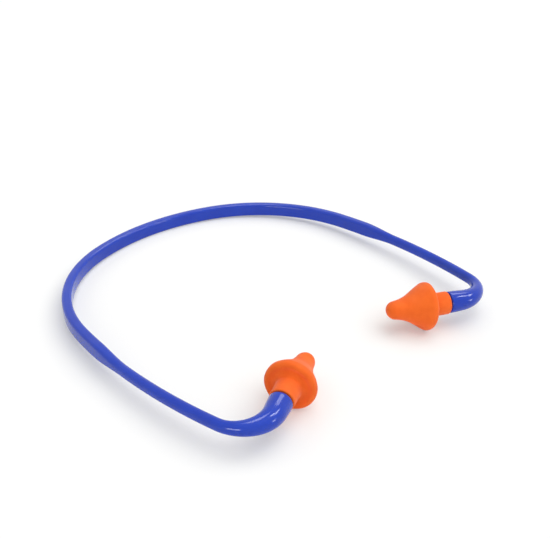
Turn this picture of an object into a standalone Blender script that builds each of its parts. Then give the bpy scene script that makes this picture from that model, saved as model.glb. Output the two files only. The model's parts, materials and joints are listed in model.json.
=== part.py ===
"""Banded ear plugs: a sprung headband with a foam pod pushed on each end.

The band is modelled flat in its own plane, apex at the origin and arms towards -Y. One empty
then tilts that plane, so that the part stands on the foot of its bow and on both pods.
"""

import math

import bmesh
import bpy
from mathutils import Vector

# Driving dimensions, in metres. Angles are written in degrees.

# Centreline of one half of the band, from the apex of the bow to the pod.
BOW_RADIUS = 0.0885
BOW_SWEEP = math.radians(20.0)
SHOULDER_RADIUS = 0.061
SHOULDER_SWEEP = math.radians(62.7)
ARM_LENGTH = 0.073
ARM_RADIUS = 0.213
ELBOW_RADIUS = 0.012
ELBOW_SWEEP = math.radians(104.5)
END_LENGTH = 0.0053

# Sections of the band: an upright strip round the bow, an oval rod along the arm, a round end.
STRIP_HEIGHT = 0.0059
STRIP_THICKNESS = 0.0039
STRIP_CORNER = 0.0012
STRIP_RUN_ON = 0.013
FADE_LENGTH = 0.017
ARM_HEIGHT = 0.0041
ARM_THICKNESS = 0.0034
END_DIAMETER = 0.0084
END_EDGE = 0.0005

# Where each arm turns when the spring is opened: an angle round the bow from its apex.
FLEX_ANGLE = math.radians(45.0)

# Peg on the end of each arm, with one barb that grips the foam.
PEG_DIAMETER = 0.0050
PEG_LENGTH = 0.0090
PEG_TIP_BEVEL = 0.0006
BARB_DIAMETER = 0.0056
BARB_LENGTH = 0.0020
BARB_FROM_TIP = 0.0015

# Foam pod, from the open end of its neck to the tip of its nose.
NECK_DIAMETER = 0.0087
NECK_LENGTH = 0.0074
NECK_EDGE = 0.0007
RIM_DIAMETER = 0.0184
RIM_THICKNESS = 0.0036
BACK_DISH = 0.0012
RIM_FRONT_ANGLE = math.radians(27.0)
FLARE_LENGTH = 0.0115
FLARE_PULL_AT_RIM = 0.0049
FLARE_PULL_AT_NOSE = 0.0062
NOSE_DIAMETER = 0.0071
NOSE_TAPER = math.radians(8.0)
NOSE_DOME = 0.0031
BORE_END_GAP = 0.0009

# Running clearance between two pieces that meet.
GAP = 0.0003

# Corner radius of a round section, as a share of its width. Just under a half, so that no side vanishes.
FULL_ROUND = 0.48

# Fineness of the faceted solids.
CORNER_STEPS = 3
KNUCKLE_DEGREES = (12.0, 38.0, 64.0)
BOW_STEP = 0.0040
ARM_STEP = 0.0060
ELBOW_STEP = 0.0016
TURN_STEPS = 28
RIM_STEPS = 7
FLARE_STEPS = 8
DOME_STEPS = 4
MERGE_DISTANCE = 1e-6
SMOOTH_BELOW = math.radians(35.0)

# Finishes.
BAND_BLUE = (0.040, 0.072, 0.460, 1.0)
BAND_ROUGHNESS = 0.22
POD_ORANGE = (0.930, 0.145, 0.026, 1.0)
POD_ROUGHNESS = 0.85

# Distances along the centreline, from the apex.

BOW_LENGTH = BOW_RADIUS * BOW_SWEEP
SHOULDER_LENGTH = SHOULDER_RADIUS * SHOULDER_SWEEP
ARM_START = BOW_LENGTH + SHOULDER_LENGTH
ELBOW_START = ARM_START + ARM_LENGTH
ELBOW_LENGTH = ELBOW_RADIUS * ELBOW_SWEEP
BAND_END = ELBOW_START + ELBOW_LENGTH + END_LENGTH


def flex_distance():
    """Distance along the centreline at which the band has turned by the flex angle."""
    if FLEX_ANGLE <= BOW_SWEEP:
        return BOW_RADIUS * FLEX_ANGLE
    return BOW_LENGTH + SHOULDER_RADIUS * (FLEX_ANGLE - BOW_SWEEP)


FLEX = flex_distance()
KNUCKLE_RADIUS = STRIP_THICKNESS / 2


def band_path(distance):
    """Place and heading on the centreline. Right of the apex is positive, left is negative."""
    side = math.copysign(1.0, distance)
    left = abs(distance)
    x = y = heading = 0.0
    runs = (
        (BOW_LENGTH, BOW_RADIUS),
        (SHOULDER_LENGTH, SHOULDER_RADIUS),
        (ARM_LENGTH, ARM_RADIUS),
        (ELBOW_LENGTH, ELBOW_RADIUS),
    )
    for length, radius in runs:
        turn = min(left, length) / radius
        x += radius * (math.sin(heading + turn) - math.sin(heading))
        y += radius * (math.cos(heading + turn) - math.cos(heading))
        heading += turn
        left = max(left - length, 0.0)
    x += left * math.cos(heading)
    y -= left * math.sin(heading)
    return side * x, y, side * heading


def band_point(distance, out, up):
    """A point beside the centreline: out is away from the head, up is square to the band."""
    x, y, heading = band_path(distance)
    return Vector((x + out * math.sin(heading), y + out * math.cos(heading), up))


def end_direction(side):
    """The way that the end of an arm points, which is the axis of its peg and its pod."""
    heading = band_path(side * BAND_END)[2]
    return Vector((math.cos(heading), -math.sin(heading), 0.0)) * side


def ease(start, end, value):
    """0 before start, 1 after end, smooth between."""
    share = min(max((value - start) / (end - start), 0.0), 1.0)
    return share * share * (3.0 - 2.0 * share)


def section_size(distance):
    """Height, thickness and corner radius of the band at a distance from the apex."""
    rod = ease(ARM_START + STRIP_RUN_ON, ARM_START + STRIP_RUN_ON + FADE_LENGTH, distance)
    swell = ease(ELBOW_START, BAND_END, distance)
    height = STRIP_HEIGHT + (ARM_HEIGHT - STRIP_HEIGHT) * rod
    thickness = STRIP_THICKNESS + (ARM_THICKNESS - STRIP_THICKNESS) * rod
    height += (END_DIAMETER - height) * swell
    thickness += (END_DIAMETER - thickness) * swell
    full_round = FULL_ROUND * min(height, thickness)
    corner = STRIP_CORNER + (full_round - STRIP_CORNER) * rod
    return height, thickness, min(corner, full_round)


def section_row(height, thickness, corner):
    """Upper half of a rounded rectangle, from its outer flank over the top to its inner flank."""
    row = []
    for side in (1, -1):
        for step in range(CORNER_STEPS + 1):
            angle = math.radians(90.0) * step / CORNER_STEPS
            if side < 0:
                angle = math.radians(90.0) - angle
            out = thickness / 2 - corner + corner * math.cos(angle)
            row.append((side * out, height / 2 - corner + corner * math.sin(angle)))
        if side > 0:
            row.append((0.0, height / 2))
    return row


def band_ring(distance, size, lead=None):
    """One closed ring of points across the band. A lead moves each point on along the band."""
    row = section_row(*size)
    ring = []
    for out, up in row:
        ring.append(band_point(distance + (lead(out) if lead else 0.0), out, up))
    for out, up in reversed(row):
        ring.append(band_point(distance + (lead(out) if lead else 0.0), out, -up))
    return ring


def stations(start, end, step):
    """Even distances from start to end, both included, at most a step apart."""
    count = max(math.ceil((end - start) / step), 1)
    return [start + (end - start) * k / count for k in range(count + 1)]


def loft(rings, origin):
    """Skin a row of rings into one closed mesh, with each end closed by upright strips."""
    mesh = bmesh.new()
    loops = [[mesh.verts.new(point - origin) for point in ring] for ring in rings]
    for near, far in zip(loops, loops[1:]):
        for k in range(len(near)):
            mesh.faces.new((near[k - 1], near[k], far[k], far[k - 1]))
    for loop in (loops[0], loops[-1]):
        last = len(loop) - 1
        for k in range(len(loop) // 2 - 1):
            mesh.faces.new((loop[k], loop[k + 1], loop[last - k - 1], loop[last - k]))
    bmesh.ops.recalc_face_normals(mesh, faces=mesh.faces)
    return mesh


def bow_rings():
    """The bow between its two flex lines, hollowed at each end to take an arm's round end."""
    seat = KNUCKLE_RADIUS + GAP
    size = section_size(0.0)

    def hollow(out):
        return -math.sqrt(seat**2 - out**2)

    inner = FLEX - 2 * seat
    rings = [band_ring(-FLEX, size, lambda out: -hollow(out))]
    rings += [band_ring(distance, size) for distance in stations(-inner, inner, BOW_STEP)]
    rings.append(band_ring(FLEX, size, hollow))
    return rings


def arm_rings(side):
    """One arm: its round end on the flex line, strip, rod, elbow, shoulder and peg."""
    rings = []
    height = section_size(FLEX)[0]
    for degrees in KNUCKLE_DEGREES:
        angle = math.radians(degrees)
        thickness = 2 * KNUCKLE_RADIUS * math.sin(angle)
        size = (height, thickness, min(STRIP_CORNER, FULL_ROUND * thickness))
        rings.append(band_ring(side * (FLEX - KNUCKLE_RADIUS * math.cos(angle)), size))

    along = stations(FLEX, ARM_START, BOW_STEP)
    along += stations(ARM_START, ELBOW_START, ARM_STEP)[1:]
    along += stations(ELBOW_START, BAND_END - END_EDGE, ELBOW_STEP)[1:]
    rings += [band_ring(side * distance, section_size(distance)) for distance in along]

    barb_end = PEG_LENGTH - BARB_FROM_TIP
    barb_start = barb_end - BARB_LENGTH
    turned = (
        (0.0, END_DIAMETER - 2 * END_EDGE),
        (0.0, PEG_DIAMETER),
        (barb_start, PEG_DIAMETER),
        (barb_start, BARB_DIAMETER),
        (barb_end, PEG_DIAMETER),
        (PEG_LENGTH - PEG_TIP_BEVEL, PEG_DIAMETER),
        (PEG_LENGTH, PEG_DIAMETER - 2 * PEG_TIP_BEVEL),
    )
    for distance, diameter in turned:
        size = (diameter, diameter, FULL_ROUND * diameter)
        rings.append(band_ring(side * (BAND_END + distance), size))
    return rings


def bezier(points, share):
    """A point on the cubic curve through four control points."""
    a, b, c, d = (Vector(point) for point in points)
    rest = 1.0 - share
    return a * rest**3 + b * 3 * rest**2 * share + c * 3 * rest * share**2 + d * share**3


def pod_profile():
    """Half section of the pod as (radius, distance along it), from the bore to the nose."""
    neck = NECK_DIAMETER / 2
    nose = NOSE_DIAMETER / 2
    bore = BARB_DIAMETER / 2 + GAP
    roll = RIM_THICKNESS / 2
    rim = RIM_DIAMETER / 2 - roll
    rim_middle = NECK_LENGTH + roll
    dome_start = NECK_LENGTH + RIM_THICKNESS + FLARE_LENGTH
    bore_depth = PEG_LENGTH + BORE_END_GAP

    profile = [(0.0, bore_depth), (bore, bore_depth), (bore, 0.0)]
    profile += [(neck - NECK_EDGE, 0.0), (neck, NECK_EDGE)]
    profile += [(neck, NECK_LENGTH + BACK_DISH - NECK_EDGE), (neck + NECK_EDGE, NECK_LENGTH + BACK_DISH)]

    rim_back_angle = math.radians(-90.0)
    for step in range(RIM_STEPS + 1):
        angle = rim_back_angle + (RIM_FRONT_ANGLE - rim_back_angle) * step / RIM_STEPS
        profile.append((rim + roll * math.cos(angle), rim_middle + roll * math.sin(angle)))

    start = Vector(profile[-1])
    leave = Vector((-math.sin(RIM_FRONT_ANGLE), math.cos(RIM_FRONT_ANGLE)))
    end = Vector((nose, dome_start))
    arrive = Vector((-math.sin(NOSE_TAPER), math.cos(NOSE_TAPER)))
    curve = (start, start + leave * FLARE_PULL_AT_RIM, end - arrive * FLARE_PULL_AT_NOSE, end)
    profile += [tuple(bezier(curve, step / FLARE_STEPS)) for step in range(1, FLARE_STEPS + 1)]

    for step in range(1, DOME_STEPS + 1):
        angle = math.radians(90.0) * step / DOME_STEPS
        profile.append((nose * math.cos(angle), dome_start + NOSE_DOME * math.sin(angle)))
    profile[-1] = (0.0, dome_start + NOSE_DOME)
    return profile


def turned_pod():
    """The pod turned about local Z, with its neck at the origin and its nose up."""
    mesh = bmesh.new()
    verts = [mesh.verts.new((radius, 0.0, along)) for radius, along in pod_profile()]
    edges = [mesh.edges.new(pair) for pair in zip(verts, verts[1:])]
    bmesh.ops.spin(
        mesh,
        geom=verts + edges,
        cent=(0.0, 0.0, 0.0),
        axis=(0.0, 0.0, 1.0),
        angle=math.tau,
        steps=TURN_STEPS,
    )
    bmesh.ops.remove_doubles(mesh, verts=mesh.verts, dist=MERGE_DISTANCE)
    bmesh.ops.recalc_face_normals(mesh, faces=mesh.faces)
    return mesh


def finish(name, colour, roughness):
    """A plain Principled material."""
    material = bpy.data.materials.new(name)
    material.use_nodes = True
    shader = material.node_tree.nodes["Principled BSDF"]
    shader.inputs["Base Color"].default_value = colour
    shader.inputs["Roughness"].default_value = roughness
    shader.inputs["Metallic"].default_value = 0.0
    return material


def add_piece(name, mesh, material, parent, location):
    """Turn a finished bmesh into a named object under its parent."""
    data = bpy.data.meshes.new(name)
    mesh.to_mesh(data)
    mesh.free()
    data.shade_smooth()
    data.set_sharp_from_angle(angle=SMOOTH_BELOW)
    data.materials.append(material)
    piece = bpy.data.objects.new(name, data)
    bpy.context.scene.collection.objects.link(piece)
    piece.parent = parent
    piece.location = location
    return piece


def resting_tilt():
    """Tilt of the band's plane at which the bow's lower edge and both rims meet one floor."""
    roll = RIM_THICKNESS / 2
    neck_end = band_point(BAND_END + GAP, 0.0, 0.0)
    rim_centre = neck_end + end_direction(1) * (NECK_LENGTH + roll)
    bow_edge = STRIP_THICKNESS / 2 - STRIP_CORNER
    reach = bow_edge - rim_centre.y
    drop = (RIM_DIAMETER / 2 - roll) - (STRIP_HEIGHT / 2 - STRIP_CORNER)
    slope = (roll - STRIP_CORNER) / math.hypot(reach, drop)
    return math.atan2(drop, reach) + math.asin(slope)


def stand_on_floor(plane, pieces):
    """Lift and centre the tilted band, so that its box stands on the origin."""
    bpy.context.view_layer.update()
    corners = [piece.matrix_world @ vert.co for piece in pieces for vert in piece.data.vertices]
    low_y = min(corner.y for corner in corners)
    high_y = max(corner.y for corner in corners)
    plane.location.y -= (low_y + high_y) / 2
    plane.location.z -= min(corner.z for corner in corners)
    bpy.context.view_layer.update()


def build():
    for old in list(bpy.data.objects):
        bpy.data.objects.remove(old, do_unlink=True)

    plane = bpy.data.objects.new("band_plane", None)
    bpy.context.scene.collection.objects.link(plane)
    plane.rotation_euler.x = -resting_tilt()

    pieces = []
    gloss = finish("band_gloss_blue", BAND_BLUE, BAND_ROUGHNESS)
    apex = Vector((0.0, 0.0, 0.0))
    pieces.append(add_piece("band_bow", loft(bow_rings(), apex), gloss, plane, apex))

    for name, side in (("left", -1), ("right", 1)):
        arm_finish = finish(f"{name}_arm_gloss_blue", BAND_BLUE, BAND_ROUGHNESS)
        pivot = band_point(side * FLEX, 0.0, 0.0)
        arm = add_piece(f"{name}_arm", loft(arm_rings(side), pivot), arm_finish, plane, pivot)

        foam = finish(f"{name}_pod_orange_foam", POD_ORANGE, POD_ROUGHNESS)
        neck_end = band_point(side * (BAND_END + GAP), 0.0, 0.0)
        pod = add_piece(f"{name}_pod", turned_pod(), foam, arm, neck_end - pivot)
        pod.rotation_euler = end_direction(side).to_track_quat("Z", "Y").to_euler()
        pieces += [arm, pod]

    stand_on_floor(plane, pieces)


build()
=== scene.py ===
import json
import math

import bmesh
import bpy
from mathutils import Matrix, Quaternion, Vector, noise


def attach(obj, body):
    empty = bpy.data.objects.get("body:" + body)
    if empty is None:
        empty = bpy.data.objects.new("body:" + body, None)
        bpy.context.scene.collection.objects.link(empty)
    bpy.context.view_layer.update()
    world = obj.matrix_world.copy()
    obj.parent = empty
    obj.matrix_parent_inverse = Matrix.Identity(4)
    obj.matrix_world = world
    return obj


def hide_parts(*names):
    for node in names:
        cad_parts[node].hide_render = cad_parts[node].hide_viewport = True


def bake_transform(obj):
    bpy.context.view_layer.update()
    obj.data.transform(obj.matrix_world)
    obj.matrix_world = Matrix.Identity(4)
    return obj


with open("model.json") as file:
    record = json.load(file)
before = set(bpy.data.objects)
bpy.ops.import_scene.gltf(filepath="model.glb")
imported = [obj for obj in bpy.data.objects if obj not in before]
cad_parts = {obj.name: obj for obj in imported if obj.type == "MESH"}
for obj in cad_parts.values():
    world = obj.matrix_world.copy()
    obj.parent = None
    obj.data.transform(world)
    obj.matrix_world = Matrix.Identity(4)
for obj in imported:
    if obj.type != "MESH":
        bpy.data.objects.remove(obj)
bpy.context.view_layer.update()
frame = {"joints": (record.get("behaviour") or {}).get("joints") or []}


# Headband: one injection moulding in glossy blue plastic, sprung open to go round a head. An upright
# strip forms the bow and fades into oval arms, whose thick elbows turn inwards to a barbed peg each.
# Here two mirrored halves meet at the apex of the bow.

SIDES = {"left": -1, "right": 1}

BOW_RADIUS = 0.0885
BOW_SWEEP = math.radians(20.0)
SHOULDER_RADIUS = 0.061
SHOULDER_SWEEP = math.radians(62.7)
ARM_RADIUS = 0.213
ARM_LENGTH = 0.073
ELBOW_RADIUS = 0.012
ELBOW_SWEEP = math.radians(104.5)
END_LENGTH = 0.0053
FLEX_ANGLE = math.radians(45.0)

STRIP_HEIGHT = 0.0059
STRIP_THICKNESS = 0.0039
STRIP_CORNER = 0.0012
STRIP_RUN_ON = 0.013
FADE_LENGTH = 0.017
ARM_HEIGHT = 0.0043
ARM_THICKNESS = 0.0037
END_DIAMETER = 0.0084
END_EDGE = 0.0005

PEG_DIAMETER = 0.0050
PEG_LENGTH = 0.0090
PEG_ROOT_FILLET = 0.0004
PEG_TIP_ROUND = 0.0006
BARB_DIAMETER = 0.0056
BARB_LENGTH = 0.0020
BARB_FROM_TIP = 0.0015

STATION_STEP = 0.0005
POINTS_AROUND = 56
EDGE_STEPS = 4
MERGE_DISTANCE = 1e-6
SHARP_ABOVE = math.radians(35.0)
QUARTER_TURN = math.radians(90.0)

BLEND_FROM = 0.002
BLEND_TO = 0.125


class Term:
    """A number that a node tree works out, so that a formula reads as it would on paper."""

    def __init__(self, tree, socket):
        self.tree = tree
        self.socket = socket

    def __add__(self, other):
        return work_out(self.tree, "ADD", self, other)

    def __radd__(self, other):
        return work_out(self.tree, "ADD", other, self)

    def __sub__(self, other):
        return work_out(self.tree, "SUBTRACT", self, other)

    def __rsub__(self, other):
        return work_out(self.tree, "SUBTRACT", other, self)

    def __mul__(self, other):
        return work_out(self.tree, "MULTIPLY", self, other)

    def __truediv__(self, other):
        return work_out(self.tree, "DIVIDE", self, other)

    def __rtruediv__(self, other):
        return work_out(self.tree, "DIVIDE", other, self)


def feed(tree, socket, value):
    """Link a term to a socket, or set the socket to a plain value."""
    if isinstance(value, Term):
        tree.links.new(value.socket, socket)
    else:
        socket.default_value = value


def work_out(tree, operation, *values):
    """One Math node as a term."""
    node = tree.nodes.new("ShaderNodeMath")
    node.operation = operation
    for socket, value in zip(node.inputs, values):
        feed(tree, socket, value)
    return Term(tree, node.outputs["Value"])


def for_either(operation, plain, value, *others):
    """A Math node's operation on a term, or the plain function on a number."""
    if isinstance(value, Term):
        return work_out(value.tree, operation, value, *others)
    return plain(value, *others)


def sine(value):
    """The sine of a number or a term."""
    return for_either("SINE", math.sin, value)


def cosine(value):
    """The cosine of a number or a term."""
    return for_either("COSINE", math.cos, value)


def smaller(value, other):
    """The smaller of two values, of which the first is a term if the second is."""
    return for_either("MINIMUM", min, value, other)


def larger(value, other):
    """The larger of two values, of which the first is a term if the second is."""
    return for_either("MAXIMUM", max, value, other)


def ease(value, start, end):
    """A term that is 0 before start, 1 after end and smooth between."""
    node = value.tree.nodes.new("ShaderNodeMapRange")
    node.interpolation_type = "SMOOTHSTEP"
    feed(value.tree, node.inputs["Value"], value)
    feed(value.tree, node.inputs["From Min"], start)
    feed(value.tree, node.inputs["From Max"], end)
    return Term(value.tree, node.outputs["Result"])


band = {
    "Bow Radius": BOW_RADIUS,
    "Bow Length": BOW_RADIUS * BOW_SWEEP,
    "Shoulder Radius": SHOULDER_RADIUS,
    "Shoulder Length": SHOULDER_RADIUS * SHOULDER_SWEEP,
    "Arm Radius": ARM_RADIUS,
    "Arm Length": ARM_LENGTH,
    "Elbow Radius": ELBOW_RADIUS,
    "Elbow Length": ELBOW_RADIUS * ELBOW_SWEEP,
    "End Length": END_LENGTH,
    "End Edge": END_EDGE,
    "End Diameter": END_DIAMETER,
    "Strip Height": STRIP_HEIGHT,
    "Strip Thickness": STRIP_THICKNESS,
    "Strip Corner": STRIP_CORNER,
    "Strip Run On": STRIP_RUN_ON,
    "Fade Length": FADE_LENGTH,
    "Arm Height": ARM_HEIGHT,
    "Arm Thickness": ARM_THICKNESS,
}


def run_starts(size):
    """Distances from the apex to the start of the arm, the start of the elbow and the end."""
    arm = size["Bow Length"] + size["Shoulder Length"]
    elbow = arm + size["Arm Length"]
    return arm, elbow, elbow + size["Elbow Length"] + size["End Length"]


def centreline(distance, size):
    """Place and heading on the right half's centreline, as plain numbers or as terms."""
    x = y = heading = 0.0
    left = distance
    for run in ("Bow", "Shoulder", "Arm", "Elbow"):
        radius = size[f"{run} Radius"]
        turn = smaller(left, size[f"{run} Length"]) / radius
        x = x + radius * (sine(heading + turn) - sine(heading))
        y = y + radius * (cosine(heading + turn) - cosine(heading))
        heading = heading + turn
        left = larger(left - size[f"{run} Length"], 0.0)
    return x + left * cosine(heading), y - left * sine(heading), heading


def band_section(along, angle, size, starts):
    """How far the skin lies out from the centreline and above it: strip, then oval, then round."""
    arm_start, elbow_start, end = starts
    fade_start = arm_start + size["Strip Run On"]
    rod = ease(along, fade_start, fade_start + size["Fade Length"])
    swell = ease(along, elbow_start, end)
    height = size["Strip Height"] + (size["Arm Height"] - size["Strip Height"]) * rod
    thickness = size["Strip Thickness"] + (size["Arm Thickness"] - size["Strip Thickness"]) * rod
    height = height + (size["End Diameter"] - height) * swell
    thickness = thickness + (size["End Diameter"] - thickness) * swell
    full_round = smaller(height, thickness) * 0.5
    corner = smaller(size["Strip Corner"] + (full_round - size["Strip Corner"]) * rod, full_round)

    outward = cosine(angle)
    upward = sine(angle)
    out = work_out(along.tree, "SIGN", outward) * (thickness * 0.5 - corner) + corner * outward
    up = work_out(along.tree, "SIGN", upward) * (height * 0.5 - corner) + corner * upward
    return out, up


def stored(tree, name, value):
    """A node that keeps a term on the mesh under a name."""
    node = tree.nodes.new("GeometryNodeStoreNamedAttribute")
    node.inputs["Name"].default_value = name
    feed(tree, node.inputs["Value"], value)
    return node


def band_half_tree(material):
    """Geometry nodes for one half: a grid rolled into a tube along the centreline."""
    tree = bpy.data.node_groups.new("band_half", "GeometryNodeTree")
    tree.is_modifier = True
    for name in ("Side", *band):
        tree.interface.new_socket(name, in_out="INPUT", socket_type="NodeSocketFloat")
    for name in ("Stations", "Points Around"):
        tree.interface.new_socket(name, in_out="INPUT", socket_type="NodeSocketInt")
    tree.interface.new_socket("Geometry", in_out="OUTPUT", socket_type="NodeSocketGeometry")
    inputs = tree.nodes.new("NodeGroupInput").outputs
    outputs = tree.nodes.new("NodeGroupOutput").inputs
    size = {name: Term(tree, inputs[name]) for name in ("Side", *band)}
    points_around = Term(tree, inputs["Points Around"])

    grid = tree.nodes.new("GeometryNodeMeshGrid")
    feed(tree, grid.inputs["Size X"], 1.0)
    feed(tree, grid.inputs["Size Y"], 1.0)
    feed(tree, grid.inputs["Vertices X"], Term(tree, inputs["Stations"]))
    feed(tree, grid.inputs["Vertices Y"], points_around + 1.0)
    flat = tree.nodes.new("ShaderNodeSeparateXYZ")
    tree.links.new(tree.nodes.new("GeometryNodeInputPosition").outputs["Position"], flat.inputs[0])

    # The points go round from half a step off the axes, so that no sine or cosine is without a sign.
    starts = run_starts(size)
    along = (Term(tree, flat.outputs["X"]) + 0.5) * (starts[-1] - size["End Edge"])
    angle = (Term(tree, flat.outputs["Y"]) + 0.5 + 0.5 / points_around) * math.tau
    x, y, heading = centreline(along, size)
    out, up = band_section(along, angle, size, starts)
    place = tree.nodes.new("ShaderNodeCombineXYZ")
    feed(tree, place.inputs["X"], size["Side"] * (x + out * sine(heading)))
    feed(tree, place.inputs["Y"], y + out * cosine(heading))
    feed(tree, place.inputs["Z"], up)

    roll = tree.nodes.new("GeometryNodeSetPosition")
    tree.links.new(place.outputs["Vector"], roll.inputs["Position"])
    weld = tree.nodes.new("GeometryNodeMergeByDistance")
    weld.inputs["Distance"].default_value = MERGE_DISTANCE
    paint = tree.nodes.new("GeometryNodeSetMaterial")
    paint.inputs["Material"].default_value = material
    steps = (
        grid,
        stored(tree, "band_along", along),
        stored(tree, "band_up", up),
        roll,
        weld,
        tree.nodes.new("GeometryNodeSetShadeSmooth"),
        tree.nodes.new("GeometryNodeRealizeInstances"),
        paint,
    )
    for near, far in zip(steps, steps[1:]):
        tree.links.new(near.outputs[0], far.inputs[0])
    tree.links.new(paint.outputs[0], outputs[0])
    return tree


def made_by_nodes(name, tree, values):
    """A new object whose plain mesh is what a geometry node tree makes from these values."""
    piece = bpy.data.objects.new(name, bpy.data.meshes.new(name))
    bpy.context.scene.collection.objects.link(piece)
    modifier = piece.modifiers.new("shape", "NODES")
    modifier.node_group = tree
    for socket in tree.interface.items_tree:
        if socket.in_out == "INPUT":
            modifier[socket.identifier] = values[socket.name]
    depsgraph = bpy.context.evaluated_depsgraph_get()
    shaped = piece.evaluated_get(depsgraph)
    mesh = bpy.data.meshes.new_from_object(shaped, preserve_all_data_layers=True, depsgraph=depsgraph)
    piece.modifiers.clear()
    piece.data = mesh
    mesh.name = name
    return piece


def quarter(steps):
    """Angles of a quarter turn, from the first step to the last."""
    return [QUARTER_TURN * step / steps for step in range(1, steps + 1)]


def peg_rings():
    """(distance past the shoulder, diameter) of each ring from the shoulder's edge to the peg's tip."""
    rings = []
    for angle in quarter(EDGE_STEPS):
        shrink = 2 * END_EDGE * (1.0 - math.cos(angle))
        rings.append((END_EDGE * (math.sin(angle) - 1.0), END_DIAMETER - shrink))
    rings.append((0.0, PEG_DIAMETER + 2 * PEG_ROOT_FILLET))
    for angle in quarter(EDGE_STEPS):
        grow = 2 * PEG_ROOT_FILLET * (1.0 - math.sin(angle))
        rings.append((PEG_ROOT_FILLET * (1.0 - math.cos(angle)), PEG_DIAMETER + grow))
    barb_end = PEG_LENGTH - BARB_FROM_TIP
    barb_start = barb_end - BARB_LENGTH
    rings += [(barb_start, PEG_DIAMETER), (barb_start, BARB_DIAMETER), (barb_end, PEG_DIAMETER)]
    tip_start = PEG_LENGTH - PEG_TIP_ROUND
    rings.append((tip_start, PEG_DIAMETER))
    for angle in quarter(EDGE_STEPS):
        shrink = 2 * PEG_TIP_ROUND * (1.0 - math.cos(angle))
        rings.append((tip_start + PEG_TIP_ROUND * math.sin(angle), PEG_DIAMETER - shrink))
    return rings


def close_band_half(mesh, centre, direction):
    """Close a half at the apex with a flat face, and grow the peg from its other end."""
    shell = bmesh.new()
    shell.from_mesh(mesh)
    open_edges = [edge for edge in shell.edges if edge.is_boundary]
    apex = [edge for edge in open_edges if abs(edge.verts[0].co.x) < MERGE_DISTANCE]
    rim = [edge for edge in open_edges if edge not in set(apex)]
    bmesh.ops.edgeloop_fill(shell, edges=apex)
    for distance, diameter in peg_rings():
        grown = bmesh.ops.extrude_edge_only(shell, edges=rim)["geom"]
        rim = [item for item in grown if isinstance(item, bmesh.types.BMEdge)]
        middle = centre + direction * distance
        for vert in {vert for edge in rim for vert in edge.verts}:
            beside = vert.co - centre
            beside -= direction * beside.dot(direction)
            vert.co = middle + beside.normalized() * (diameter / 2)
        rim = [edge for edge in rim if edge.is_boundary]
    bmesh.ops.edgeloop_fill(shell, edges=rim)
    bmesh.ops.recalc_face_normals(shell, faces=shell.faces)
    shell.to_mesh(mesh)
    shell.free()
    mesh.shade_smooth()
    mesh.set_sharp_from_angle(angle=SHARP_ABOVE)


def new_group(name, inputs, outputs):
    """An empty shader node group with these float sockets."""
    group = bpy.data.node_groups.new(name, "ShaderNodeTree")
    for socket, value in inputs.items():
        made = group.interface.new_socket(socket, in_out="INPUT", socket_type="NodeSocketFloat")
        made.default_value = value
    for socket in outputs:
        group.interface.new_socket(socket, in_out="OUTPUT", socket_type="NodeSocketFloat")
    return group, group.nodes.new("NodeGroupInput").outputs, group.nodes.new("NodeGroupOutput").inputs


def object_coordinates(tree):
    """The socket that gives each point's place on its piece."""
    return tree.nodes.new("ShaderNodeTexCoord").outputs["Object"]


def noise_term(tree, coordinates, size, detail):
    """Noise whose lumps are about one size across."""
    texture = tree.nodes.new("ShaderNodeTexNoise")
    feed(tree, texture.inputs["Scale"], 1.0 / size)
    texture.inputs["Detail"].default_value = detail
    tree.links.new(coordinates, texture.inputs["Vector"])
    return Term(tree, texture.outputs["Fac"])


def dots_term(tree, spacing, edge):
    """Scattered dots, 1 inside and 0 outside, whose soft edge is given in shares of their spacing."""
    texture = tree.nodes.new("ShaderNodeTexVoronoi")
    feed(tree, texture.inputs["Scale"], 1.0 / spacing)
    tree.links.new(object_coordinates(tree), texture.inputs["Vector"])
    return 1.0 - ease(Term(tree, texture.outputs["Distance"]), *edge)


GRAIN_DETAIL = 3.0
CLOUD_DETAIL = 2.0
CLOUD_FADE = (0.30, 0.70)


def surface_grain_group():
    """Fine relief and soft clouds of tone, as a moulded skin has."""
    sizes = {"Grain Size": 0.0004, "Cloud Size": 0.008}
    group, inputs, outputs = new_group("surface_grain", sizes, ("Relief", "Tone"))
    place = object_coordinates(group)
    relief = noise_term(group, place, Term(group, inputs["Grain Size"]), GRAIN_DETAIL)
    clouds = noise_term(group, place, Term(group, inputs["Cloud Size"]), CLOUD_DETAIL)
    feed(group, outputs["Relief"], relief)
    feed(group, outputs["Tone"], ease(clouds, *CLOUD_FADE))
    return group


UPWARD_FADE = (0.1, 1.0)
SPECK_EDGE = (0.03, 0.09)
SPECK_SHARE = 0.65
VEIL_DETAIL = 4.0
VEIL_FADE = (0.40, 0.75)
VEIL_SHARE = 0.35


def settled_dust_group():
    """A thin veil and a few specks of dust on what faces up."""
    sizes = {"Speck Spacing": 0.002, "Veil Size": 0.010}
    group, inputs, outputs = new_group("settled_dust", sizes, ("Dust",))
    normal = group.nodes.new("ShaderNodeSeparateXYZ")
    group.links.new(group.nodes.new("ShaderNodeNewGeometry").outputs["Normal"], normal.inputs[0])
    facing_up = ease(Term(group, normal.outputs["Z"]), *UPWARD_FADE)
    speck = dots_term(group, Term(group, inputs["Speck Spacing"]), SPECK_EDGE)
    clouds = noise_term(group, object_coordinates(group), Term(group, inputs["Veil Size"]), VEIL_DETAIL)
    veil = ease(clouds, *VEIL_FADE)
    feed(group, outputs["Dust"], facing_up * (veil * VEIL_SHARE + speck * SPECK_SHARE))
    return group


surface_grain = surface_grain_group()
settled_dust = settled_dust_group()


def place_group(tree, group, **values):
    """Put a shared effect in a material with its own values. Returns its outputs as terms."""
    node = tree.nodes.new("ShaderNodeGroup")
    node.node_tree = group
    for name, value in values.items():
        feed(tree, node.inputs[name.replace("_", " ").title()], value)
    return {socket.name: Term(tree, socket) for socket in node.outputs}


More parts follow.
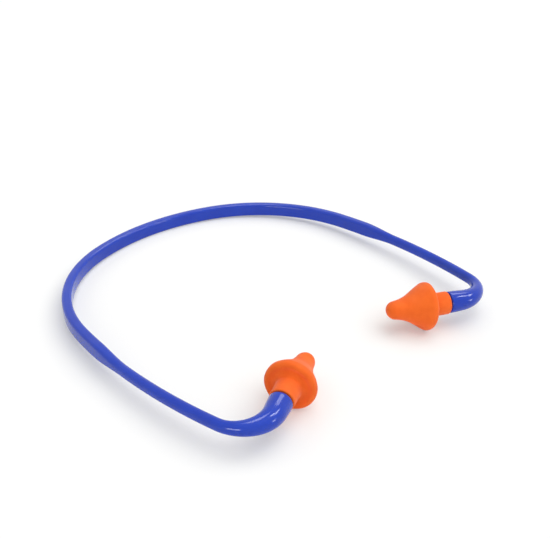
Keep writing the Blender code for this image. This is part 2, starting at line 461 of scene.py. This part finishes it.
def mixed_colour(tree, share, near, far):
    """A colour that goes from near to far as the share goes from 0 to 1."""
    node = tree.nodes.new("ShaderNodeMix")
    node.data_type = "RGBA"
    feed(tree, node.inputs["Factor"], share)
    colours = [socket for socket in node.inputs if socket.type == "RGBA"]
    for socket, colour in zip(colours, (near, far)):
        feed(tree, socket, colour)
    return Term(tree, next(socket for socket in node.outputs if socket.type == "RGBA"))


def new_finish(name):
    """A new material, its node tree and its Principled shader's inputs."""
    material = bpy.data.materials.new(name)
    material.use_nodes = True
    tree = material.node_tree
    return material, tree, tree.nodes["Principled BSDF"].inputs


def bump_from(tree, height, strength, distance):
    """A normal tipped by a height, with its strength and depth as plain values."""
    node = tree.nodes.new("ShaderNodeBump")
    node.inputs["Strength"].default_value = strength
    node.inputs["Distance"].default_value = distance
    feed(tree, node.inputs["Height"], height)
    return Term(tree, node.outputs["Normal"])


def surface_value(tree, name):
    """A number stored on the mesh, as a term."""
    node = tree.nodes.new("ShaderNodeAttribute")
    node.attribute_name = name
    return Term(tree, node.outputs["Fac"])


BAND_BLUE = (0.006, 0.046, 0.480, 1.0)
BAND_BLUE_DEEP = (0.005, 0.039, 0.445, 1.0)
BAND_DUST = (0.300, 0.330, 0.480, 1.0)
BAND_DUST_SHARE = 0.10

FLOW_MARK_SIZE = 0.0007
FLOW_MARK_SQUEEZE = 0.08
FLOW_MARK_DETAIL = 2.0
PARTING_EDGE = (0.00003, 0.00012)

BAND_ROUGHNESS = 0.07
BAND_FLOW_ROUGHNESS = 0.04
BAND_CLOUD_ROUGHNESS = 0.02
BAND_DUST_ROUGHNESS = 0.12
BAND_GRAIN_HEIGHT = 0.35
BAND_FLOW_HEIGHT = 0.25
BAND_PARTING_HEIGHT = 0.6
BAND_BUMP_STRENGTH = 0.25
BAND_BUMP_DEPTH = 0.00003
BAND_IOR = 1.42


def glossy_band_plastic():
    """Blue plastic off a polished mould: flow marks along the band and a faint parting line."""
    material, tree, shader = new_finish("glossy_band_plastic")
    grain = place_group(tree, surface_grain, grain_size=0.0006, cloud_size=0.012)
    dust = place_group(tree, settled_dust, speck_spacing=0.0018, veil_size=0.009)["Dust"]
    up = surface_value(tree, "band_up")
    flow = tree.nodes.new("ShaderNodeCombineXYZ")
    feed(tree, flow.inputs["X"], surface_value(tree, "band_along") * FLOW_MARK_SQUEEZE)
    feed(tree, flow.inputs["Y"], up)
    flow_marks = noise_term(tree, flow.outputs["Vector"], FLOW_MARK_SIZE, FLOW_MARK_DETAIL)
    parting = 1.0 - ease(work_out(tree, "ABSOLUTE", up), *PARTING_EDGE)

    blue = mixed_colour(tree, grain["Tone"], BAND_BLUE_DEEP, BAND_BLUE)
    feed(tree, shader["Base Color"], mixed_colour(tree, dust * BAND_DUST_SHARE, blue, BAND_DUST))
    roughness = BAND_ROUGHNESS + flow_marks * BAND_FLOW_ROUGHNESS + grain["Tone"] * BAND_CLOUD_ROUGHNESS
    feed(tree, shader["Roughness"], roughness + dust * BAND_DUST_ROUGHNESS)
    height = grain["Relief"] * BAND_GRAIN_HEIGHT + flow_marks * BAND_FLOW_HEIGHT
    height = height + parting * BAND_PARTING_HEIGHT
    feed(tree, shader["Normal"], bump_from(tree, height, BAND_BUMP_STRENGTH, BAND_BUMP_DEPTH))
    shader["IOR"].default_value = BAND_IOR
    return material


flex_joint = next(joint for joint in frame["joints"] if joint["name"] == "right_arm_flex")
flex_axis = Vector(flex_joint["axis"])
flex_distance = band["Bow Length"] + SHOULDER_RADIUS * (FLEX_ANGLE - BOW_SWEEP)
flex_place = Vector((*centreline(flex_distance, band)[:2], 0.0))
band_tilt = Matrix.Rotation(-math.atan2(flex_axis.y, flex_axis.z), 4, "X")
band_plane = Matrix.Translation(Vector(flex_joint["pos_m"]) - band_tilt @ flex_place) @ band_tilt
band_end = run_starts(band)[-1]


def band_place(side, distance):
    """A point on the centreline, flat in the band's own plane."""
    x, y = centreline(distance, band)[:2]
    return Vector((side * x, y, 0.0))


def end_direction(side):
    """The way that an arm's end points, flat in the band's own plane."""
    heading = centreline(band_end, band)[-1]
    return Vector((side * math.cos(heading), -math.sin(heading), 0.0))


band_plastic = glossy_band_plastic()
half_tree = band_half_tree(band_plastic)
for name, side in SIDES.items():
    sizes = {"Side": float(side), "Points Around": POINTS_AROUND, **band}
    sizes["Stations"] = math.ceil(band_end / STATION_STEP)
    half = made_by_nodes(f"{name}_band_half", half_tree, sizes)
    close_band_half(half.data, band_place(side, band_end), end_direction(side))
    half.data.transform(band_plane)
    band_plane @ band_place(side, BLEND_FROM)
    band_plane @ band_place(side, BLEND_TO)
    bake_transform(half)
    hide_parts("band_bow", f"{name}_arm")


# Foam pods: one pod of soft orange foam on each peg, moulded with a closed matt skin. A neck carries a
# flange that stops at the ear's entrance and a tapered nose that goes in. The bore holds the barbed peg.

SEAT_GAP = 0.0005
NECK_DIAMETER = 0.0089
NECK_LENGTH = 0.0077
NECK_EDGE = 0.0005
BACK_FILLET = 0.0018
BACK_SLOPE = math.radians(22.0)
RIM_DIAMETER = 0.0184
RIM_THICKNESS = 0.0036
RIM_BACK_ROUND = 0.0013
RIM_FRONT_ROUND = 0.0018
RIM_FRONT_ANGLE = math.radians(27.0)
FLARE_LENGTH = 0.0110
FLARE_PULL_AT_RIM = 0.0049
FLARE_PULL_AT_NOSE = 0.0062
NOSE_DIAMETER = 0.0071
NOSE_TAPER = math.radians(8.0)
NOSE_DOME = 0.0031
ROUND_PULL = 0.5523
BORE_CLEARANCE = 0.0003
BORE_DIAMETER = BARB_DIAMETER + 2 * BORE_CLEARANCE
BORE_SPARE_DEPTH = 0.0009
BORE_DEPTH = PEG_LENGTH + BORE_SPARE_DEPTH
BORE_EDGE = 0.0003

PROFILE_STEP = 0.0003
LEAST_ARC_STEPS = 5
TURN_STEPS = 112

FOAM_SWELL = 0.00008
FOAM_SWELL_SIZE = 0.0045
NOSE_LEAN = {"left": Vector((-0.0010, 0.0007)), "right": Vector((0.0, 0.0005))}
NOSE_LEAN_POWER = 1.5
RIM_TILT = {"left": 0.0, "right": -0.08}
RIM_TILT_POWER = 2


def arc(middle, radius, start, end):
    """Points on an arc of the profile, close enough together to look round."""
    steps = max(math.ceil(abs(end - start) * radius / PROFILE_STEP), LEAST_ARC_STEPS)
    points = []
    for step in range(steps + 1):
        angle = start + (end - start) * step / steps
        points.append(middle + Vector((math.cos(angle), math.sin(angle))) * radius)
    return points


def bezier(a, b, c, d):
    """Points on the cubic curve that four points control, without the first."""
    steps = math.ceil((d - a).length / PROFILE_STEP)
    points = []
    for step in range(1, steps + 1):
        share = step / steps
        rest = 1.0 - share
        points.append(a * rest**3 + b * 3 * rest**2 * share + c * 3 * rest * share**2 + d * share**3)
    return points


def pod_profile():
    """Half section of a pod as (radius, distance along it), from the bore's end to the nose."""
    bore = BORE_DIAMETER / 2
    neck = NECK_DIAMETER / 2
    nose = NOSE_DIAMETER / 2
    rim = RIM_DIAMETER / 2
    rim_end = NECK_LENGTH + RIM_THICKNESS
    lip = Vector((rim - RIM_BACK_ROUND, NECK_LENGTH + RIM_BACK_ROUND))
    front = Vector((rim - RIM_FRONT_ROUND, rim_end - RIM_FRONT_ROUND))
    lip_inside = lip - Vector((math.sin(BACK_SLOPE), math.cos(BACK_SLOPE))) * RIM_BACK_ROUND
    hollow = Vector((neck + BACK_FILLET, 0.0))
    hollow_edge = hollow.x + BACK_FILLET * math.sin(BACK_SLOPE)
    hollow_depth = lip_inside.y + (lip_inside.x - hollow_edge) * math.tan(BACK_SLOPE)
    hollow.y = hollow_depth - BACK_FILLET * math.cos(BACK_SLOPE)

    profile = [Vector((0.0, BORE_DEPTH)), Vector((bore, BORE_DEPTH))]
    profile += arc(Vector((bore + BORE_EDGE, BORE_EDGE)), BORE_EDGE, 2 * QUARTER_TURN, 3 * QUARTER_TURN)
    profile += arc(Vector((neck - NECK_EDGE, NECK_EDGE)), NECK_EDGE, -QUARTER_TURN, 0.0)
    profile += arc(hollow, BACK_FILLET, 2 * QUARTER_TURN, QUARTER_TURN - BACK_SLOPE)
    profile += arc(lip, RIM_BACK_ROUND, -QUARTER_TURN - BACK_SLOPE, 0.0)
    profile += arc(front, RIM_FRONT_ROUND, 0.0, RIM_FRONT_ANGLE)

    leave = Vector((-math.sin(RIM_FRONT_ANGLE), math.cos(RIM_FRONT_ANGLE)))
    arrive = Vector((-math.sin(NOSE_TAPER), math.cos(NOSE_TAPER)))
    dome = Vector((nose, rim_end + FLARE_LENGTH))
    tip = Vector((0.0, dome.y + NOSE_DOME))
    leave_rim = profile[-1] + leave * FLARE_PULL_AT_RIM
    profile += bezier(profile[-1], leave_rim, dome - arrive * FLARE_PULL_AT_NOSE, dome)
    round_nose = dome + arrive * NOSE_DOME * ROUND_PULL
    profile += bezier(dome, round_nose, tip + Vector((nose * ROUND_PULL, 0.0)), tip)
    return profile


def lean_with_use(foam, lean, tilt):
    """Let the nose of a pod lean and its flange tilt a little, as soft foam that was handled does."""
    rim = RIM_DIAMETER / 2
    rim_middle = NECK_LENGTH + RIM_THICKNESS / 2
    nose_length = RIM_THICKNESS / 2 + FLARE_LENGTH + NOSE_DOME
    for vert in foam.verts:
        share = max((vert.co.z - rim_middle) / nose_length, 0.0)
        vert.co.z += tilt * vert.co.y * (vert.co.xy.length / rim) ** RIM_TILT_POWER
        vert.co.xy += lean * share**NOSE_LEAN_POWER


def pod_mesh(name, place, lean, tilt):
    """One pod, turned from its profile and set in place, with the slight swell of real foam."""
    foam = bmesh.new()
    verts = [foam.verts.new((point.x, 0.0, point.y)) for point in pod_profile()]
    edges = [foam.edges.new(pair) for pair in zip(verts, verts[1:])]
    bmesh.ops.spin(
        foam,
        geom=verts + edges,
        cent=(0.0, 0.0, 0.0),
        axis=(0.0, 0.0, 1.0),
        angle=math.tau,
        steps=TURN_STEPS,
    )
    bmesh.ops.remove_doubles(foam, verts=foam.verts, dist=MERGE_DISTANCE)
    bmesh.ops.recalc_face_normals(foam, faces=foam.faces)
    lean_with_use(foam, lean, tilt)
    foam.transform(place)
    foam.normal_update()
    for vert in foam.verts:
        vert.co += vert.normal * FOAM_SWELL * noise.noise(vert.co / FOAM_SWELL_SIZE)
    mesh = bpy.data.meshes.new(name)
    foam.to_mesh(mesh)
    foam.free()
    mesh.shade_smooth()
    mesh.set_sharp_from_angle(angle=SHARP_ABOVE)
    return mesh


POD_ORANGE = (0.950, 0.158, 0.017, 1.0)
POD_ORANGE_DEEP = (0.905, 0.136, 0.013, 1.0)
# The pinhole colour is painted shade: it darkens the pits as shade in a recess would.
POD_PINHOLE_SHADE = (0.700, 0.080, 0.010, 1.0)
POD_DUST = (0.940, 0.480, 0.300, 1.0)
POD_PINHOLE_SHADE_SHARE = 0.30
POD_DUST_SHARE = 0.06

PINHOLE_SPACING = 0.0007
PINHOLE_EDGE = (0.06, 0.22)

POD_ROUGHNESS = 0.78
POD_GRAIN_ROUGHNESS = 0.12
POD_PINHOLE_ROUGHNESS = 0.08
POD_PINHOLE_DEPTH = 0.7
POD_BUMP_STRENGTH = 0.35
POD_BUMP_DEPTH = 0.00006
POD_IOR = 1.40
POD_SPECULAR = 0.25
POD_SHEEN = 0.15
POD_SHEEN_ROUGHNESS = 0.50


def matt_pod_foam():
    """Orange foam with a closed skin: soft clouds of colour, fine grain and scattered pinholes darkened
    as painted shade.
    """
    material, tree, shader = new_finish("matt_pod_foam")
    grain = place_group(tree, surface_grain, grain_size=0.00035, cloud_size=0.0040)
    dust = place_group(tree, settled_dust, speck_spacing=0.0022, veil_size=0.006)["Dust"]
    pinhole = dots_term(tree, PINHOLE_SPACING, PINHOLE_EDGE)

    orange = mixed_colour(tree, grain["Tone"], POD_ORANGE_DEEP, POD_ORANGE)
    # Painted shade: the pinholes are coloured darker, as if shade fell in each pit.
    orange = mixed_colour(tree, pinhole * POD_PINHOLE_SHADE_SHARE, orange, POD_PINHOLE_SHADE)
    feed(tree, shader["Base Color"], mixed_colour(tree, dust * POD_DUST_SHARE, orange, POD_DUST))
    roughness = POD_ROUGHNESS + grain["Relief"] * POD_GRAIN_ROUGHNESS + pinhole * POD_PINHOLE_ROUGHNESS
    feed(tree, shader["Roughness"], roughness)
    height = grain["Relief"] - pinhole * POD_PINHOLE_DEPTH
    feed(tree, shader["Normal"], bump_from(tree, height, POD_BUMP_STRENGTH, POD_BUMP_DEPTH))
    shader["IOR"].default_value = POD_IOR
    shader["Specular IOR Level"].default_value = POD_SPECULAR
    shader["Sheen Weight"].default_value = POD_SHEEN
    shader["Sheen Roughness"].default_value = POD_SHEEN_ROUGHNESS
    return material


pod_foam = matt_pod_foam()
for name, side in SIDES.items():
    seat = band_place(side, band_end) + end_direction(side) * SEAT_GAP
    turn = end_direction(side).to_track_quat("Z", "Y").to_matrix().to_4x4()
    place = band_plane @ Matrix.Translation(seat) @ turn
    mesh = pod_mesh(f"{name}_foam_pod", place, NOSE_LEAN[name], RIM_TILT[name])
    mesh.materials.append(pod_foam)
    pod = bpy.data.objects.new(f"{name}_foam_pod", mesh)
    bpy.context.scene.collection.objects.link(pod)
    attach(pod, f"{name}_pod")
    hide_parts(f"{name}_pod")


# Close to the object the floor's glow also dims, as a painted shadow, on top of the softbox's shadow.
# Floor and light: a white sweep in a bright room. One broad softbox high on the right makes the soft
# shadow without being mirrored, and a low lamp on the left lights the near side.
# The other lamps are small and show only in the gloss, as sharp sparks on the elbows.

FLOOR_SIZE = 1.4
FLOOR_BOUNCE = (0.92, 0.92, 0.92, 1.0)
FLOOR_SHADE = (0.57, 0.57, 0.557, 1.0)
FLOOR_GLOW = 0.43
SHADE_REACH = 0.08
SHADE_LIMIT = 0.77
ROOM_WHITE = (1.0, 1.0, 1.0, 1.0)
ROOM_LIGHT = 0.36
LAMP_DISTANCE = 3.0


def seen_ray(tree):
    """1 for what the camera sees, directly, mirrored or through glass, and 0 for light that bounces."""
    path = tree.nodes.new("ShaderNodeLightPath").outputs
    seen = larger(Term(tree, path["Is Camera Ray"]), Term(tree, path["Is Glossy Ray"]))
    return larger(seen, Term(tree, path["Is Transmission Ray"]))


def white_sweep():
    """Matt white for light that bounces. Seen, it glows white too, with a painted shadow close to the
    object.
    """
    material = bpy.data.materials.new("white_sweep")
    material.use_nodes = True
    tree = material.node_tree
    tree.nodes.remove(tree.nodes["Principled BSDF"])
    bounce = tree.nodes.new("ShaderNodeBsdfDiffuse")
    bounce.inputs["Color"].default_value = FLOOR_BOUNCE
    shade = tree.nodes.new("ShaderNodeBsdfDiffuse")
    shade.inputs["Color"].default_value = FLOOR_SHADE
    # Painted shadow: ambient occlusion dims the glow near the object, but never below SHADE_LIMIT.
    nearness = tree.nodes.new("ShaderNodeAmbientOcclusion")
    nearness.inputs["Distance"].default_value = SHADE_REACH
    openness = larger(Term(tree, nearness.outputs["AO"]), SHADE_LIMIT)
    glow = tree.nodes.new("ShaderNodeEmission")
    feed(tree, glow.inputs["Strength"], openness * FLOOR_GLOW)
    lit = tree.nodes.new("ShaderNodeAddShader")
    tree.links.new(shade.outputs[0], lit.inputs[0])
    tree.links.new(glow.outputs[0], lit.inputs[1])
    choose = tree.nodes.new("ShaderNodeMixShader")
    feed(tree, choose.inputs["Fac"], seen_ray(tree))
    tree.links.new(bounce.outputs[0], choose.inputs[1])
    tree.links.new(lit.outputs[0], choose.inputs[2])
    tree.links.new(choose.outputs[0], tree.nodes["Material Output"].inputs["Surface"])
    return material


half_floor = FLOOR_SIZE / 2
floor_corners = [(x * half_floor, y * half_floor, 0.0) for x, y in ((-1, -1), (1, -1), (1, 1), (-1, 1))]
floor_mesh = bpy.data.meshes.new("floor")
floor_mesh.from_pydata(floor_corners, [], [(0, 1, 2, 3)])
floor_mesh.materials.append(white_sweep())
floor = bpy.data.objects.new("floor", floor_mesh)
bpy.context.scene.collection.objects.link(floor)

room = bpy.data.worlds.new("white_room")
room.use_nodes = True
bpy.context.scene.world = room
room_tree = room.node_tree
room_light = room_tree.nodes["Background"].inputs
room_light["Color"].default_value = ROOM_WHITE
feed(room_tree, room_light["Strength"], ROOM_LIGHT + seen_ray(room_tree) * (1.0 - ROOM_LIGHT))


def towards(azimuth, elevation):
    """The direction at an azimuth from the open end of the band and an elevation above the floor."""
    flat = math.cos(elevation)
    return Vector((math.sin(azimuth) * flat, -math.cos(azimuth) * flat, math.sin(elevation)))


def add_lamp(name, azimuth, elevation, width, height, radiance, lights=False, mirrored=True):
    """A flat lamp that faces the object, placed and sized by angles in degrees as the object sees it.

    It lights matt surfaces only where lights is true, and shows in gloss only where mirrored is true.
    """
    lamp = bpy.data.lights.new(name, "AREA")
    lamp.shape = "RECTANGLE"
    lamp.size = 2 * LAMP_DISTANCE * math.tan(math.radians(width) / 2)
    lamp.size_y = 2 * LAMP_DISTANCE * math.tan(math.radians(height) / 2)
    lamp.energy = math.pi * lamp.size * lamp.size_y * radiance
    direction = towards(math.radians(azimuth), math.radians(elevation))
    holder = bpy.data.objects.new(name, lamp)
    holder.location = direction * LAMP_DISTANCE
    holder.rotation_euler = (-direction).to_track_quat("-Z", "Y").to_euler()
    holder.visible_diffuse = lights
    holder.visible_glossy = mirrored
    bpy.context.scene.collection.objects.link(holder)


add_lamp(
    "high_softbox",
    azimuth=55,
    elevation=70,
    width=66,
    height=66,
    radiance=2.2,
    lights=True,
    mirrored=False,
)
add_lamp("low_left_lamp", azimuth=-72, elevation=8, width=14, height=18, radiance=7.5, lights=True)
add_lamp("left_front_window", azimuth=-58, elevation=10, width=14, height=18, radiance=7.5)
add_lamp("top_back_lamp", azimuth=130, elevation=76, width=18, height=22, radiance=6.0)
add_lamp("front_window", azimuth=50, elevation=54, width=8, height=8, radiance=15.0)
add_lamp("right_front_window", azimuth=57, elevation=43, width=16, height=9, radiance=10.0)
add_lamp("low_front_window", azimuth=27, elevation=9, width=8, height=12, radiance=8.0)
add_lamp("right_back_lamp", azimuth=112, elevation=47, width=24, height=12, radiance=4.5)


# Camera: a normal lens on the left of the band's open side, about 30 degrees above the floor, as in
# the photograph. Its focal length is given in pixels of an image as wide as the photograph.

CAMERA_TARGET = Vector((0.01463, 0.00136, 0.00643))
CAMERA_AZIMUTH = math.radians(-44.56)
CAMERA_ELEVATION = math.radians(30.56)
CAMERA_ROLL = math.radians(2.20)
CAMERA_DISTANCE = 0.33278
CAMERA_CLIP_START = 0.01
IMAGE_WIDTH = 550
FOCAL_PIXELS = 800
SENSOR_WIDTH = 36.0

camera_back = towards(CAMERA_AZIMUTH, CAMERA_ELEVATION)
camera = bpy.data.objects.new("camera", bpy.data.cameras.new("camera"))
camera.data.sensor_width = SENSOR_WIDTH
camera.data.lens = SENSOR_WIDTH * FOCAL_PIXELS / IMAGE_WIDTH
camera.data.clip_start = CAMERA_CLIP_START
camera.location = CAMERA_TARGET + camera_back * CAMERA_DISTANCE
camera.rotation_mode = "QUATERNION"
camera_roll = Quaternion((0.0, 0.0, 1.0), CAMERA_ROLL)
camera.rotation_quaternion = (-camera_back).to_track_quat("-Z", "Y") @ camera_roll
bpy.context.scene.collection.objects.link(camera)
bpy.context.scene.camera = camera
bpy.context.scene.view_settings.view_transform = "Standard"
